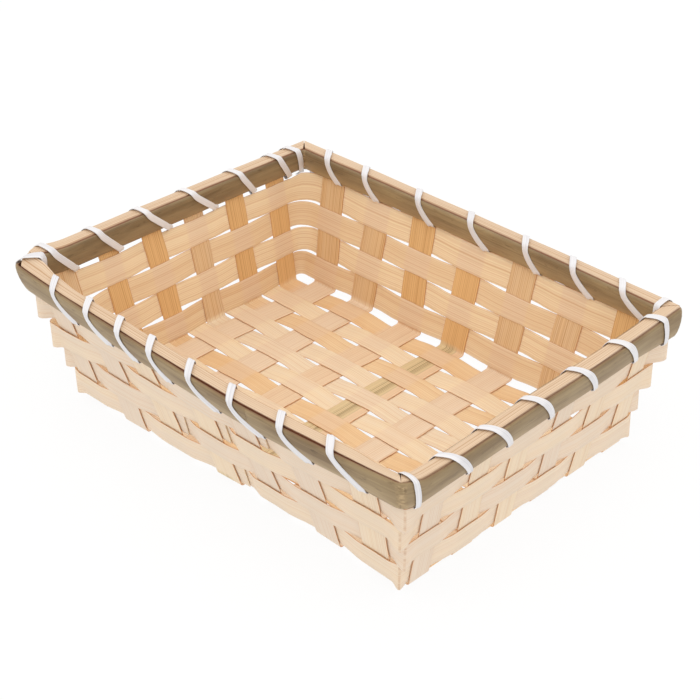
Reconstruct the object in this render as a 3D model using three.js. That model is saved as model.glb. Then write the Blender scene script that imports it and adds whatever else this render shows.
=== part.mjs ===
// A rectangular woven basket of thin bamboo chips, with a split-bamboo rim lashed on by one flat strip.
// Millimetres, +Z up. The origin is the middle of the underside, X runs along the long walls.
// The walls are named as seen with +Y at the back: front, right, back and left, in counterclockwise order.
import * as THREE from 'three';

// Overall size
const RIM_LENGTH = 300;
const RIM_WIDTH = 228;
const RIM_HEIGHT = 87;
const FLOOR_LENGTH = 263.4;
const FLOOR_WIDTH = 183.8;

// The sides of the rim bow out and sag between its corners, and the walls follow as they rise
const BOW = { long: 6, short: 3 };
const SAG = { long: 3.5, short: 1.5 };

// The chips that everything below the rim is woven from, and the clearance wherever two pieces cross
const CHIP = 0.8;
const GAP = 0.3;
const FOLD_RADIUS = 1.5;
const FOLD_STEPS = 4;

// Cross stakes lie across the floor and turn up the long walls
const CROSS_COUNT = 7;
const CROSS_WIDTH = 19;
const CROSS_MARGIN = 15.7;

// Long stakes lie along the floor and turn up the short walls, with one floor slat between each two
const LONG_COUNT = 6;
const ROW_MARGIN = 12.4;
const ROW_SLIT = 0.7;
const SLAT_END_CLEARANCE = 2.9;

// The uprights splay and lean a little along each wall on the way up
const SPLAY = { front: 0.06, right: 0.07, back: 0.03, left: 0.06 };
const LEAN = { front: -9.5, right: 4, back: 0, left: 3 };

// Weavers go round the wall, in and out of the uprights
const WEAVER_COUNT = 4;
const WEAVER_SLIT = 0.7;
const WEAVER_FOOT = 3.2;
const CROSSING_EASE = 2;
const LAP_REACH = 5;
const LAP_UPRIGHTS = [3, 2, 3, 4];
const CORNER_CREASE = 1.2;
const CORNER_STEPS = 4;
const CORNER_RADIUS = 3;
const CORNER_SPREAD = { bottom: 0.5, top: 4.5 };

// The rim: an outer and an inner band of split bamboo with a filler between them
const BAND_THICKNESS = 1.5;
const BAND_CROWN = 0.7;
const OUTER_BAND_HEIGHT = 17.5;
const OUTER_BAND_SEAT = 1.8;
const INNER_BAND_HEIGHT = 14.5;
const INNER_BAND_DROP = 1;
const FILLER_WIDTH = 8;
const FILLER_HEIGHT = 5;
const FILLER_DROP = 0.2;
const RIM_CHAMFER = 2;
const RIM_STATION = 25;
const UPRIGHT_OFFSET = 1.8;
const SCARF_LENGTH = 30;
const SCARF_TIP = 0.35;
const OUTER_SCARF_AT = 15;
const INNER_SCARF_AT = -15;

// The lashing: one flat strip, with its passes under the rim counted gap by gap between the uprights
const LASH_WIDTH = 4;
const LASH_THICKNESS = 0.5;
const LASH_CORNER_PASS = 4.5;
const LASH_DOUBLE_GAP = { wall: 'front', gap: 1, shares: [0.2, 0.85] };
const LASH_SHARE = {
  long: { inner: 0.26, top: 0.04, outer: 0.6 },
  short: { inner: 0.36, top: 0.06, outer: 0.46 },
};
const LASH_CORNER_INSET = 4.6;

// Colours
const CHIP_FINISH = { color: 0xe9d3b2, roughness: 0.6, metalness: 0 };
const SKIN_FINISH = { color: 0x8f7f62, roughness: 0.5, metalness: 0 };
const FILLER_FINISH = { color: 0xedd2aa, roughness: 0.6, metalness: 0 };
const LASH_FINISH = { color: 0xece8e4, roughness: 0.35, metalness: 0 };

// Levels of the floor: the cross stakes lie at its middle and the rows pass over and under them
const STEP = CHIP + GAP;
const FLOOR_LEVEL = STEP + CHIP / 2;

// The rim section is measured from a reference line that stands over the tops of the uprights
const RIM_HALF_THICKNESS = FILLER_WIDTH / 2 + GAP + BAND_THICKNESS;
const RIM_REACH_X = RIM_LENGTH / 2 - RIM_HALF_THICKNESS;
const RIM_REACH_Y = RIM_WIDTH / 2 - RIM_HALF_THICKNESS;
const WALL_RISE = RIM_HEIGHT - FLOOR_LEVEL;
const SLOPE_X = (RIM_REACH_X + UPRIGHT_OFFSET - FLOOR_LENGTH / 2) / WALL_RISE;
const SLOPE_Y = (RIM_REACH_Y + UPRIGHT_OFFSET - FLOOR_WIDTH / 2) / WALL_RISE;
const OUTER_BAND_FOOT = RIM_HEIGHT - OUTER_BAND_HEIGHT;
const INNER_BAND_TOP = RIM_HEIGHT - INNER_BAND_DROP;
const INNER_BAND_FOOT = INNER_BAND_TOP - INNER_BAND_HEIGHT;
const FILLER_TOP = RIM_HEIGHT - FILLER_DROP;
const FILLER_FOOT = FILLER_TOP - FILLER_HEIGHT;
const UPRIGHT_TOP = FILLER_FOOT - GAP;
const LASH_CLEAR = GAP + LASH_THICKNESS / 2;

// Weaver rows fill the wall between the floor and the lashing that passes under the rim
const WEAVER_TOP = OUTER_BAND_FOOT - LASH_THICKNESS - 2 * GAP;
const WEAVER_PITCH = (WEAVER_TOP - WEAVER_FOOT + WEAVER_SLIT) / WEAVER_COUNT;
const WEAVER_WIDTH = WEAVER_PITCH - WEAVER_SLIT;

// Floor layout
const CROSS_PITCH = (FLOOR_LENGTH - 2 * CROSS_MARGIN) / (CROSS_COUNT - 1);
const ROW_COUNT = 2 * LONG_COUNT - 1;
const ROW_PITCH = (FLOOR_WIDTH - 2 * ROW_MARGIN) / (ROW_COUNT - 1);
const ROW_WIDTH = ROW_PITCH - ROW_SLIT;
const crossX = (j) => (j - (CROSS_COUNT - 1) / 2) * CROSS_PITCH;
const rowY = (i) => ((ROW_COUNT - 1) / 2 - i) * ROW_PITCH;

// Each wall has a direction to travel in, an outward direction, and a mid-plane that leans out as it rises
const WALLS = [
  { name: 'front', along: [1, 0], out: [0, -1], rim: RIM_REACH_Y, slope: SLOPE_Y },
  { name: 'right', along: [0, 1], out: [1, 0], rim: RIM_REACH_X, slope: SLOPE_X },
  { name: 'back', along: [-1, 0], out: [0, 1], rim: RIM_REACH_Y, slope: SLOPE_Y },
  { name: 'left', along: [0, -1], out: [-1, 0], rim: RIM_REACH_X, slope: SLOPE_X },
];
const nextWall = (wall) => WALLS[(WALLS.indexOf(wall) + 1) % WALLS.length];
const uprightOffset = (wall, z) => UPRIGHT_OFFSET - wall.slope * (RIM_HEIGHT - z);
const wallReach = (wall, z) => wall.rim + uprightOffset(wall, z);

// A plan point from its distances along a wall and out from the middle of the basket
function planPoint(wall, along, out) {
  return [
    wall.along[0] * along + wall.out[0] * out,
    wall.along[1] * along + wall.out[1] * out,
  ];
}

// Where an upright stands along its wall at a height, given where it leaves the floor
function uprightAt(wallName, foot, z) {
  const rise = Math.max(0, z - FLOOR_LEVEL) / WALL_RISE;
  return foot + (foot * SPLAY[wallName] + LEAN[wallName]) * rise;
}

// Uprights of each wall, in the direction of travel
for (const wall of WALLS) {
  wall.long = wall.name === 'front' || wall.name === 'back';
  const count = wall.long ? CROSS_COUNT : LONG_COUNT;
  const pitch = wall.long ? CROSS_PITCH : 2 * ROW_PITCH;
  wall.width = wall.long ? CROSS_WIDTH : ROW_WIDTH;
  wall.feet = Array.from({ length: count }, (_, n) => (n - (count - 1) / 2) * pitch);
}

// The basket is laid out with straight sides, then every point follows the bow and sag of its wall
function bowed([x, y, z]) {
  const u = (2 * x) / RIM_LENGTH;
  const v = (2 * y) / RIM_WIDTH;
  const rise = Math.max(0, z - FLOOR_LEVEL) / WALL_RISE;
  const onLong = (1 - u * u) * rise;
  const onShort = (1 - v * v) * rise;
  return [
    x + BOW.short * u * onShort,
    y + BOW.long * v * onLong,
    z - SAG.long * v * v * onLong - SAG.short * u * u * onShort,
  ];
}

// A closed solid through rings of matching points, with a flat face at each end
function loft(rings) {
  const sides = rings[0].length;
  const positions = rings.flat().map(bowed).flat();
  const index = [];
  for (let r = 0; r + 1 < rings.length; r += 1) {
    for (let s = 0; s < sides; s += 1) {
      const a = r * sides + s;
      const b = r * sides + ((s + 1) % sides);
      index.push(a, b, b + sides, a, b + sides, a + sides);
    }
  }
  const last = (rings.length - 1) * sides;
  for (let s = 1; s + 1 < sides; s += 1) {
    index.push(0, s + 1, s);
    index.push(last, last + s, last + s + 1);
  }
  const geometry = new THREE.BufferGeometry();
  geometry.setAttribute('position', new THREE.Float32BufferAttribute(positions, 3));
  geometry.setIndex(signedVolume(positions, index) < 0 ? index.reverse() : index);
  geometry.computeVertexNormals();
  return geometry;
}

function signedVolume(positions, index) {
  const corner = (n) => new THREE.Vector3().fromArray(positions, 3 * index[n]);
  let total = 0;
  for (let n = 0; n < index.length; n += 3) {
    total += corner(n).dot(corner(n + 1).cross(corner(n + 2))) / 6;
  }
  return total;
}

function addMesh(group, name, geometry, finish) {
  const mesh = new THREE.Mesh(geometry, new THREE.MeshStandardMaterial(finish));
  mesh.name = name;
  group.add(mesh);
}

// A flat strip that follows a side profile of [distance, height] points.
// place(distance, height, side) turns a point of the profile into a point in space.
function profileStrip(profile, width, place) {
  const rings = profile.map((point, n) => {
    const before = profile[Math.max(0, n - 1)];
    const after = profile[Math.min(profile.length - 1, n + 1)];
    const a = new THREE.Vector2(point[0] - before[0], point[1] - before[1]).normalize();
    const b = new THREE.Vector2(after[0] - point[0], after[1] - point[1]).normalize();
    const along = a.clone().add(b).normalize();
    const turn = Math.abs(a.angleTo(b));
    const half = n === 0 || n === profile.length - 1 ? CHIP / 2 : CHIP / 2 / Math.cos(turn / 2);
    const up = [-along.y * half, along.x * half];
    return [
      place(point[0] - up[0], point[1] - up[1], -width / 2),
      place(point[0] - up[0], point[1] - up[1], width / 2),
      place(point[0] + up[0], point[1] + up[1], width / 2),
      place(point[0] + up[0], point[1] + up[1], -width / 2),
    ];
  });
  return loft(rings);
}

// The fold from the floor up into a leaning wall, then the run to the top of the upright
function upturn(wall, level) {
  const tilt = Math.atan(wall.slope);
  const turn = Math.PI / 2 - tilt;
  const meet = wallReach(wall, level);
  const run = FOLD_RADIUS * Math.tan(turn / 2);
  const points = [];
  for (let n = 0; n <= FOLD_STEPS; n += 1) {
    const angle = (turn * n) / FOLD_STEPS;
    points.push([
      meet - run + FOLD_RADIUS * Math.sin(angle),
      level + FOLD_RADIUS * (1 - Math.cos(angle)),
    ]);
  }
  const fold = points[points.length - 1][1];
  for (let n = 1; n <= WEAVER_COUNT; n += 1) {
    const z = fold + ((UPRIGHT_TOP - fold) * n) / WEAVER_COUNT;
    points.push([wallReach(wall, z), z]);
  }
  return points;
}

const mirrored = (points) => points.map(([d, z]) => [-d, z]).reverse();

// Cross strips of even number pass over the rows of even number, the others over the rest
const crossIsOver = (cross, row) => (cross + row) % 2 === 0;

// Floor run of a row: level over or under each cross stake, sloping in the free spans between them
function rowRun(row) {
  const half = CROSS_WIDTH / 2 + CROSSING_EASE;
  const points = [];
  for (let j = 0; j < CROSS_COUNT; j += 1) {
    const level = FLOOR_LEVEL + (crossIsOver(j, row) ? -STEP : STEP);
    points.push([crossX(j) - half, level], [crossX(j) + half, level]);
  }
  return points;
}

function longStake(row) {
  const y = rowY(row);
  const ends = upturn(WALLS[1], FLOOR_LEVEL - STEP);
  const profile = [...mirrored(ends), ...rowRun(row), ...ends];
  const place = (x, z, side) => {
    const sign = x < 0 ? -1 : 1;
    const shift = uprightAt(x < 0 ? 'left' : 'right', sign * y, z);
    return [x, sign * shift + side, z];
  };
  return profileStrip(profile, ROW_WIDTH, place);
}

function floorSlat(row) {
  const end = FLOOR_LENGTH / 2 - SLAT_END_CLEARANCE;
  const run = rowRun(row);
  const profile = [[-end, run[0][1]], ...run, [end, run[run.length - 1][1]]];
  return profileStrip(profile, ROW_WIDTH, (x, z, side) => [x, rowY(row) + side, z]);
}

function crossStake(j) {
  const ends = upturn(WALLS[0], FLOOR_LEVEL);
  const profile = [...mirrored(ends), ...ends];
  const place = (y, z, side) => {
    const sign = y < 0 ? 1 : -1;
    const shift = uprightAt(y < 0 ? 'front' : 'back', sign * crossX(j), z);
    return [sign * shift + side, y, z];
  };
  return profileStrip(profile, CROSS_WIDTH, place);
}

// One section of a weaver: it leans with the wall beside the uprights and stands straight at the corners
function weaverRing([x, y], [nx, ny], middle, lean) {
  const tilt = Math.atan(lean);
  const point = (rise, depth) => {
    const out = rise * Math.sin(tilt) + depth * Math.cos(tilt);
    const up = rise * Math.cos(tilt) - depth * Math.sin(tilt);
    return [x + nx * out, y + ny * out, middle + up];
  };
  const h = WEAVER_WIDTH / 2;
  const t = CHIP / 2;
  return [point(-h, -t), point(-h, t), point(h, t), point(h, -t)];
}

// Row 0 is the lowest. A weaver runs inside every second upright, and its neighbours inside the others.
const runsInside = (row, upright) => (upright + WEAVER_COUNT - row) % 2 === 1;

function weaver(row) {
  const middle = WEAVER_FOOT + WEAVER_WIDTH / 2 + row * WEAVER_PITCH;
  const share = row / Math.max(1, WEAVER_COUNT - 1);
  const spread = CORNER_SPREAD.bottom + (CORNER_SPREAD.top - CORNER_SPREAD.bottom) * share;
  const crossings = [];
  for (const wall of WALLS) {
    for (const foot of wall.feet) {
      const inside = runsInside(row, crossings.length);
      crossings.push({
        wall,
        at: uprightAt(wall.name, foot, middle),
        half: wall.width / 2 + CROSSING_EASE,
        side: inside ? -STEP : STEP,
      });
    }
  }
  const near = LAP_UPRIGHTS[row % LAP_UPRIGHTS.length];
  const first = runsInside(row, near) ? near : near + 1;
  const order = [...crossings.slice(first), ...crossings.slice(0, first)];
  const onWall = ({ wall }, at, side) =>
    weaverRing(planPoint(wall, at, wallReach(wall, middle) + side), wall.out, middle, wall.slope);
  const lap = order[0];
  const reach = lap.half + LAP_REACH;
  const rings = [onWall(lap, lap.at - reach, lap.side - STEP), onWall(lap, lap.at + reach, lap.side - STEP)];
  for (let n = 1; n < order.length; n += 1) {
    if (order[n].wall !== order[n - 1].wall) {
      rings.push(...weaverCorner(order[n - 1], order[n], middle, spread));
    }
    rings.push(onWall(order[n], order[n].at - order[n].half, order[n].side));
    rings.push(onWall(order[n], order[n].at + order[n].half, order[n].side));
  }
  rings.push(onWall(lap, lap.at - lap.half, lap.side), onWall(lap, lap.at + reach - GAP, lap.side));
  return loft(rings);
}

// A weaver stands out a little at the corners, the more the higher its row. It is creased at the front right
// corner and bends round the back left one as widely as the uprights on both sides leave room for.
function weaverCorner(last, first, middle, spread) {
  const out = wallReach(last.wall, middle) + last.side + spread;
  const along = wallReach(first.wall, middle) + first.side + spread;
  const room = Math.min(along - (last.at + last.half), out + (first.at - first.half)) - GAP;
  const widest = { front: CORNER_CREASE, back: room }[last.wall.name] ?? CORNER_RADIUS;
  const radius = Math.min(widest, room);
  const rings = [];
  for (let n = 0; n <= CORNER_STEPS; n += 1) {
    const angle = ((Math.PI / 2) * n) / CORNER_STEPS;
    const normal = planPoint(last.wall, Math.sin(angle), Math.cos(angle));
    const [cx, cy] = planPoint(last.wall, along - radius, out - radius);
    rings.push(weaverRing([cx + normal[0] * radius, cy + normal[1] * radius], normal, middle, 0));
  }
  return rings;
}

// Rim sections are [offset, height] corners, the offset outward from the rim's reference line.
// The foot of each band stands clear of the uprights, and its exposed face is crowned.
const outerSection = (wall) => {
  const foot = uprightOffset(wall, OUTER_BAND_FOOT) + CHIP / 2 + OUTER_BAND_SEAT + BAND_THICKNESS;
  return {
    foot: [foot, OUTER_BAND_FOOT],
    crown: [(foot + RIM_HALF_THICKNESS) / 2 + BAND_CROWN, OUTER_BAND_FOOT + OUTER_BAND_HEIGHT / 2],
    top: [RIM_HALF_THICKNESS, RIM_HEIGHT],
  };
};
const innerSection = (wall) => {
  const foot = uprightOffset(wall, INNER_BAND_FOOT) - CHIP / 2 - GAP - BAND_THICKNESS;
  return {
    foot: [foot, INNER_BAND_FOOT],
    crown: [(foot - RIM_HALF_THICKNESS) / 2 - BAND_CROWN, INNER_BAND_FOOT + INNER_BAND_HEIGHT / 2],
    top: [-RIM_HALF_THICKNESS, INNER_BAND_TOP],
  };
};

// Section of a band between two depths, counted from its hidden back face
function bandSection({ foot, crown, top }, sign, from, to) {
  const back = ([o, z]) => [o - sign * BAND_THICKNESS, z];
  const at = (point, depth) => [back(point)[0] + sign * depth, point[1]];
  const full = to === BAND_THICKNESS;
  const middle = full ? crown : at([(foot[0] + top[0]) / 2, crown[1]], to);
  return [at(foot, from), at(foot, to), middle, at(top, to), at(top, from)];
}

// Evenly spaced places strictly between two ends, close enough together to follow the bow of a side
function stations(start, end) {
  const count = Math.ceil((end - start) / RIM_STATION);
  return Array.from({ length: count - 1 }, (_, n) => start + ((end - start) * (n + 1)) / count);
}

// A hoop of split bamboo, bent round four corners and closed by a scarf on one wall
function rimBand(sectionOf, sign, scarfWall, scarfAt) {
  const rings = [];
  const onWall = (wall, along, from, to) => {
    const section = bandSection(sectionOf(wall), sign, from, to);
    rings.push(section.map(([o, z]) => [...planPoint(wall, along, wall.rim + o), z]));
  };
  const run = (wall, start, end) => {
    for (const along of stations(start, end)) onWall(wall, along, 0, BAND_THICKNESS);
  };
  const corner = (wall) => {
    const next = nextWall(wall);
    const here = bandSection(sectionOf(wall), sign, 0, BAND_THICKNESS);
    const there = bandSection(sectionOf(next), sign, 0, BAND_THICKNESS);
    const point = (n, cutAlong, cutOut) => {
      const along = next.rim + there[n][0] - cutAlong;
      const out = wall.rim + here[n][0] - cutOut;
      return [...planPoint(wall, along, out), here[n][1]];
    };
    rings.push(here.map((_, n) => point(n, RIM_CHAMFER, 0)));
    rings.push(here.map((_, n) => point(n, 0, RIM_CHAMFER)));
  };
  const thinEnd = BAND_THICKNESS - GAP - SCARF_TIP;
  const scarfEnd = scarfAt + SCARF_LENGTH;
  onWall(scarfWall, scarfAt, 0, SCARF_TIP);
  onWall(scarfWall, scarfEnd, 0, thinEnd);
  onWall(scarfWall, scarfEnd + GAP, 0, BAND_THICKNESS);
  const reach = (wall) => nextWall(wall).rim - RIM_HALF_THICKNESS - RIM_CHAMFER;
  run(scarfWall, scarfEnd + GAP, reach(scarfWall));
  corner(scarfWall);
  for (let wall = nextWall(scarfWall); wall !== scarfWall; wall = nextWall(wall)) {
    run(wall, -reach(wall), reach(wall));
    corner(wall);
  }
  run(scarfWall, -reach(scarfWall), scarfAt - GAP);
  onWall(scarfWall, scarfAt - GAP, 0, BAND_THICKNESS);
  onWall(scarfWall, scarfAt, SCARF_TIP + GAP, BAND_THICKNESS);
  onWall(scarfWall, scarfEnd - GAP, thinEnd + GAP, BAND_THICKNESS);
  return loft(rings);
}

// Offset of a band's hidden back face at a height
function backOffset({ foot, top }, sign, z) {
  const share = (z - foot[1]) / (top[1] - foot[1]);
  return foot[0] + (top[0] - foot[0]) * share - sign * BAND_THICKNESS;
}

// A filler lies between the bands along one side, mitred at both ends and blunted at its outer tips
function rimFiller(wall) {
  const next = nextWall(wall);
  const mitre = GAP / Math.SQRT2;
  const blunt = RIM_CHAMFER - 2 * GAP + GAP * Math.SQRT2;
  const sectionOn = (side) => {
    const outside = (z) => [backOffset(outerSection(side), 1, z) - GAP, z];
    const inside = (z) => [backOffset(innerSection(side), -1, z) + GAP, z];
    return [inside(FILLER_FOOT), outside(FILLER_FOOT), outside(FILLER_TOP), inside(FILLER_TOP)];
  };
  const section = sectionOn(wall);
  const beside = sectionOn(next);
  const tip = section.map(([o, z], n) => {
    const cut = o > 0 ? [(blunt + mitre) / 2, (blunt - mitre) / 2] : [mitre, 0];
    return [next.rim + beside[n][0] - cut[0], wall.rim + o - cut[1], z];
  });
  const shoulder = section.map(([o, z], n) => [next.rim + beside[n][0] - blunt, wall.rim + o, z]);
  const ring = (points, end) => points.map(([a, o, z]) => [...planPoint(wall, end * a, o), z]);
  const end = next.rim - blunt;
  const between = stations(-end, end).map((a) => section.map(([o, z]) => [...planPoint(wall, a, wall.rim + o), z]));
  return loft([ring(tip, -1), ring(shoulder, -1), ...between, ring(shoulder, 1), ring(tip, 1)]);
}

// Passes of the lashing under the rim, in order: one before the first upright of a wall, one or two in each
// gap between uprights, and one after the last
function lashPasses() {
  const passes = [];
  for (const wall of WALLS) {
    const at = wall.feet.map((foot) => uprightAt(wall.name, foot, OUTER_BAND_FOOT));
    const half = wall.width / 2;
    passes.push({ wall, at: at[0] - half - LASH_CORNER_PASS });
    for (let n = 0; n + 1 < at.length; n += 1) {
      const from = at[n] + half;
      const to = at[n + 1] - half;
      const twice = LASH_DOUBLE_GAP.wall === wall.name && LASH_DOUBLE_GAP.gap === n;
      const shares = twice ? LASH_DOUBLE_GAP.shares : [1 / 2];
      passes.push(...shares.map((share) => ({ wall, at: from + (to - from) * share })));
    }
    passes.push({ wall, at: at[at.length - 1] + half + LASH_CORNER_PASS });
  }
  return passes;
}

// One turn of the lashing from a pass to the next: up the inner face, over the top, down the outer face.
// A pass is where the strip goes through the plane of the uprights. A turn that goes round a corner of the
// basket does so on top of the rim, and no turn climbs the inner face closer to a corner than its inset.
function lashTurn(from, to) {
  const inner = innerSection(from.wall);
  const outer = outerSection(to.wall);
  const sameWall = from.wall === to.wall;
  const length = sameWall ? to.at - from.at : 2 * LASH_CORNER_PASS;
  const share = from.wall.long ? LASH_SHARE.long : LASH_SHARE.short;
  const under = length * (1 - share.inner - share.top - share.outer);
  const uprights = uprightOffset(from.wall, OUTER_BAND_FOOT);
  const beyond = (uprights - inner.foot[0]) / (outer.foot[0] - inner.foot[0]);
  const turned = nextWall(from.wall).rim - RIM_HALF_THICKNESS - BAND_CROWN - LASH_CORNER_INSET;
  const start = THREE.MathUtils.clamp(from.at + under * beyond, -turned, turned);
  const end = to.at - under * (1 - beyond);
  const outerCorner = LASH_CORNER_INSET - from.wall.rim - RIM_HALF_THICKNESS;
  const topIn = sameWall ? start + length * share.inner : turned;
  const topOut = sameWall ? end - length * share.outer : Math.min(end, outerCorner);
  return [
    { wall: from.wall, at: start, point: inner.foot },
    { wall: from.wall, at: (start + topIn) / 2, point: inner.crown },
    { wall: from.wall, at: topIn, point: [inner.top[0], RIM_HEIGHT] },
    { wall: to.wall, at: topOut, point: outer.top },
    { wall: to.wall, at: (topOut + end) / 2, point: outer.crown },
    { wall: to.wall, at: end, point: outer.foot },
    { wall: to.wall, at: end, point: [outer.foot[0] - BAND_THICKNESS, OUTER_BAND_FOOT] },
  ];
}

function spacePoint({ wall, at, point }) {
  return new THREE.Vector3(...planPoint(wall, at, wall.rim + point[0]), point[1]);
}

// The lashing bends round each corner of the rim section at its clearance from it
function lashRings(stops) {
  const rings = [];
  stops.forEach((stop, n) => {
    const before = stops[Math.max(0, n - 1)];
    const after = stops[Math.min(stops.length - 1, n + 1)];
    const here = spacePoint(stop);
    const axis = new THREE.Vector3(...stop.wall.along, 0);
    const legs = [here.clone().sub(spacePoint(before)), spacePoint(after).sub(here)];
    const flats = legs.map((leg) => leg.clone().addScaledVector(axis, -leg.dot(axis)).normalize());
    if (n === 0) flats[0].copy(flats[1]);
    if (n === stops.length - 1) flats[1].copy(flats[0]);
    const slants = legs.map((leg) => leg.dot(axis) / Math.max(leg.length(), GAP));
    const slant = Math.asin((slants[0] + slants[1]) / 2);
    const turn = flats[0].angleTo(flats[1]);
    const steps = turn > Math.PI / 6 ? [0, 1 / 2, 1] : [1 / 2];
    const clear = LASH_CLEAR / (steps.length === 1 ? Math.cos(turn / 2) : 1);
    for (const step of steps) {
      const tangent = flats[0].clone().multiplyScalar(1 - step).addScaledVector(flats[1], step).normalize();
      const normal = tangent.clone().cross(axis);
      const across = axis.clone().multiplyScalar(Math.cos(slant)).addScaledVector(tangent, -Math.sin(slant));
      rings.push({ middle: here.clone().addScaledVector(normal, clear), normal, across });
    }
  });
  return rings;
}

// Least distance between stretches of the lashing that lie further apart along it than its own width
function leastGap(rings) {
  let travelled = 0;
  const marks = rings.map(({ middle }, n) => {
    travelled += n === 0 ? 0 : middle.distanceTo(rings[n - 1].middle);
    return travelled;
  });
  const edges = rings.map(({ middle, across }) =>
    [-1, 0, 1].map((side) => {
      const point = middle.clone().addScaledVector(across, (side * LASH_WIDTH) / 2);
      return new THREE.Vector3(...bowed(point.toArray()));
    }));
  let least = Infinity;
  for (let a = 0; a < rings.length; a += 1) {
    for (let b = a + 1; b < rings.length; b += 1) {
      if (marks[b] - marks[a] < RIM_HEIGHT - OUTER_BAND_FOOT) continue;
      for (const p of edges[a]) {
        for (const q of edges[b]) least = Math.min(least, p.distanceTo(q) - LASH_THICKNESS);
      }
    }
  }
  return least;
}

function lashing() {
  const passes = lashPasses();
  const stops = passes.slice(1).flatMap((pass, n) => lashTurn(passes[n], pass));
  stops.push(...lashTurn(passes[passes.length - 1], passes[0]));
  const rings = lashRings(stops);
  console.log(`rim_lashing: ${passes.length} turns, least gap to itself ${leastGap(rings).toFixed(2)} mm`);
  const half = LASH_WIDTH / 2;
  const thick = LASH_THICKNESS / 2;
  const corner = ({ middle, normal, across }, side, depth) =>
    middle.clone().addScaledVector(across, side).addScaledVector(normal, depth).toArray();
  return loft(rings.map((ring) => [
    corner(ring, -half, -thick),
    corner(ring, half, -thick),
    corner(ring, half, thick),
    corner(ring, -half, thick),
  ]));
}

const basket = new THREE.Group();
basket.name = 'chip_basket';
for (let row = 0; row < ROW_COUNT; row += 1) {
  const upright = row % 2 === 0;
  const name = upright ? `long_stake_${row / 2 + 1}` : `floor_slat_${(row + 1) / 2}`;
  addMesh(basket, name, upright ? longStake(row) : floorSlat(row), CHIP_FINISH);
}
for (let j = 0; j < CROSS_COUNT; j += 1) {
  addMesh(basket, `cross_stake_${j + 1}`, crossStake(j), CHIP_FINISH);
}
for (let row = 0; row < WEAVER_COUNT; row += 1) {
  addMesh(basket, `weaver_${row + 1}`, weaver(row), CHIP_FINISH);
}
addMesh(basket, 'rim_outer_band', rimBand(outerSection, 1, WALLS[0], OUTER_SCARF_AT), SKIN_FINISH);
addMesh(basket, 'rim_inner_band', rimBand(innerSection, -1, WALLS[1], INNER_SCARF_AT), SKIN_FINISH);
for (const wall of WALLS) {
  addMesh(basket, `rim_filler_${wall.name}`, rimFiller(wall), FILLER_FINISH);
}
addMesh(basket, 'rim_lashing', lashing(), LASH_FINISH);

export default basket;
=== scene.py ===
import math
from dataclasses import dataclass

import bpy
import numpy as np
from mathutils import Matrix, Vector


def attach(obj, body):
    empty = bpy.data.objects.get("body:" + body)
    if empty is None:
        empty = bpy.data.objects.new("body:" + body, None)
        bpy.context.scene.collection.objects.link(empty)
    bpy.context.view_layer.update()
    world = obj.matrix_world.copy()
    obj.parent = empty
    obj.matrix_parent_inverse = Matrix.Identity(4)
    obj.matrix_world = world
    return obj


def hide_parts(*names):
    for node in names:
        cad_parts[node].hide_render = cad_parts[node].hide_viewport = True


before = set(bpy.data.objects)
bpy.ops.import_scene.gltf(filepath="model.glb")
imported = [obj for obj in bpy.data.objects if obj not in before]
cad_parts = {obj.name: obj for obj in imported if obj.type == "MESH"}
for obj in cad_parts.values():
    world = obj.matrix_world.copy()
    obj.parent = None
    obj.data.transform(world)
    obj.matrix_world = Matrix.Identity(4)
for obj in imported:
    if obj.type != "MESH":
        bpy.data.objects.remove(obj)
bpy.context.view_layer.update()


def by_wall(*values):
    """A value for each of the front, right, back and left walls."""
    return dict(zip(("front", "right", "back", "left"), values))


# Overall size, with the bow and sag of the sides between the corners
MM = 0.001
RIM_LENGTH = 300.0
RIM_WIDTH = 228.0
RIM_HEIGHT = 87.0
FLOOR_LENGTH = 263.4
FLOOR_WIDTH = 183.8
BOW_LONG = 6.0
BOW_SHORT = 3.0
SAG_LONG = 3.5
SAG_SHORT = 1.5

# Warp. Each pair of numbers is the stretch over which a part of the warp comes in.
# The front rim is raised left of its middle
RAISE_FRONT = 2.2
RAISE_MIDDLE = -45.0
RAISE_REACH = 95.0

# The front half of the right wall dips
DIP_RIGHT = 4.6
DIP_X = (110.0, 130.0)
DIP_Z = (40.0, 85.0)
DIP_START_Y = (-114.0, -96.0)
DIP_END_Y = (-100.0, 0.0)

# The front end of the left wall stands high and out
LIFT = 5.7
LIFT_OUT = 3.0
LIFT_X = (-128.0, -138.0)
LIFT_Y = (-111.0, -97.0)
LIFT_Z = (35.0, 95.0)
LIFT_SPAN = 220.0

# The foot spreads at the front and right, and its left end is tucked in at the front
SPREAD_FRONT = -0.8
SPREAD_ENDS = 4.5
SPREAD_LEFT = 2.4
SPREAD_LEFT_START = (-130.0, -80.0)
SPREAD_LEFT_END = (40.0, -40.0)
SPREAD_RIGHT = 1.3
TUCK_LEFT = 4.0
SPREAD_HEIGHT = 45.0
FRONT_PART = (-40.0, -90.0)
RIGHT_PART = (90.0, 130.0)
LEFT_PART = (-90.0, -130.0)

# Chips: their edges and their line drift a little along their length
CHIP = 0.5
CHIP_PLACES = np.array((-1, -0.97, -0.7, -0.35, 0, 0.35, 0.7, 0.97, 1))
CHIP_DEPTH = np.array((0.5, 1, 1, 1, 1, 1, 1, 1, 0.5))
ROW_RAGGED = 0.28
CROSS_RAGGED = 0.3
WEAVER_RAGGED = 0.25
EDGE_WAVES = ((90, 17), (110, 21))
EDGE_FINE = 0.4
DRIFT = 0.35
ROW_DRIFT_WAVE = 140
CROSS_DRIFT_WAVE = 150
OVERTONE = 0.45
OVERTONE_RATE = 2.3

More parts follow.
